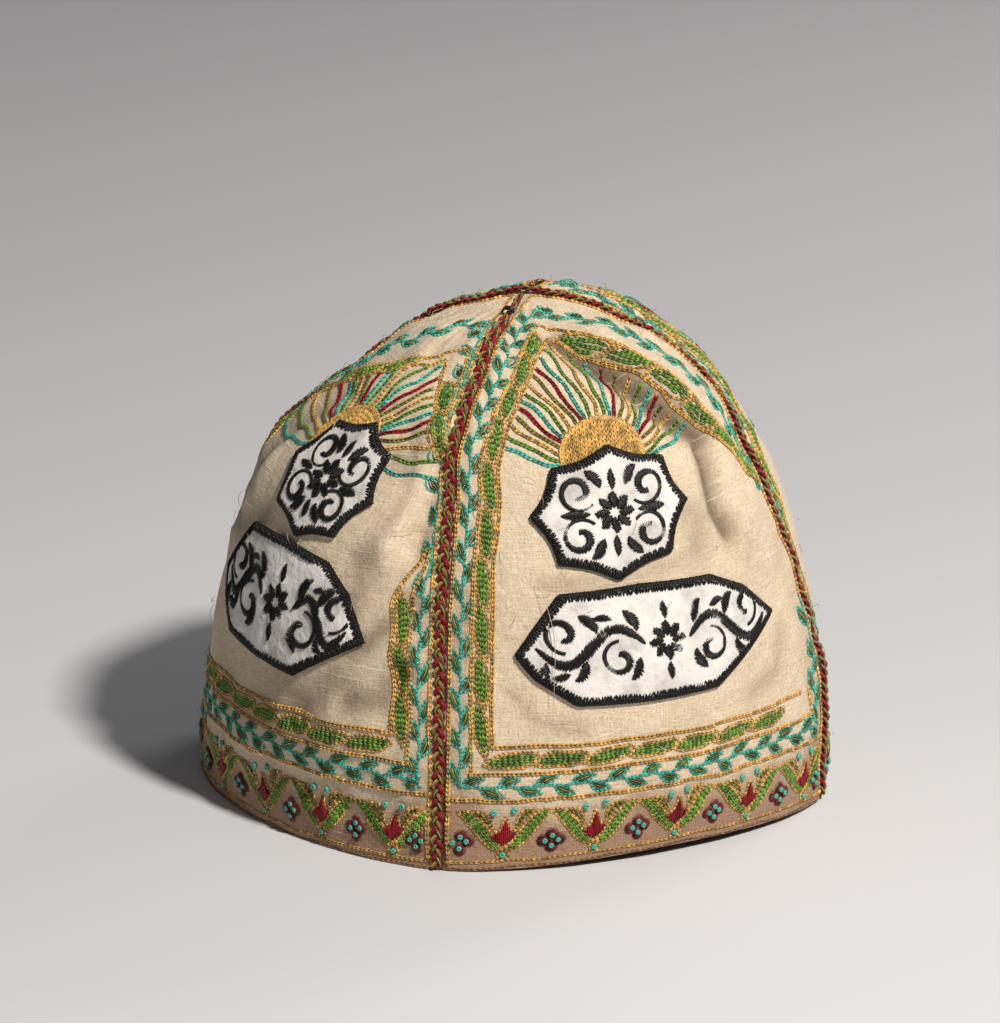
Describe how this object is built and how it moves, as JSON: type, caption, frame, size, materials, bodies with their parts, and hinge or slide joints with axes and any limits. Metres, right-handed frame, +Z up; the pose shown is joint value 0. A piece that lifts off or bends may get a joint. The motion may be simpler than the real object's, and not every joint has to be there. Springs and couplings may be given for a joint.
{
  "type": "embroidered dervish skullcap",
  "caption": "Soft domed skullcap of cloth gores with braided seam cords, felt patches and embroidered borders, standing on its open hem.",
  "frame": {"origin": "centre of the cap's box, on the plane that the hem rests on", "axes": "+Z up through the crown, -Y through the front seam, +X through the right seam"},
  "size_m": [0.1952, 0.1868, 0.1513],
  "materials": {
    "cotton": "undyed cotton plain weave, aged and slightly stained, embroidered",
    "white_felt": "napped white felt",
    "braid": "crimson and green silk braid",
    "gold_thread": "golden silk chain stitch",
    "teal_thread": "turquoise silk chain stitch",
    "green_thread": "green silk satin stitch",
    "red_thread": "crimson silk satin stitch",
    "black_thread": "black silk blanket stitch"
  },
  "bodies": {
    "root": {"gore_front_right": "cotton", "gore_front_left": "cotton", "gore_back_right": "cotton", "gore_back_left": "cotton", "medallion_front_right": "white_felt", "medallion_front_left": "white_felt", "medallion_back_right": "white_felt", "medallion_back_left": "white_felt", "cartouche_front_right": "white_felt", "cartouche_front_left": "white_felt", "cartouche_back_right": "white_felt", "cartouche_back_left": "white_felt", "seam_cord_across": "braid", "seam_cord_front": "braid", "seam_cord_back": "braid"}
  },
  "joints": []
}
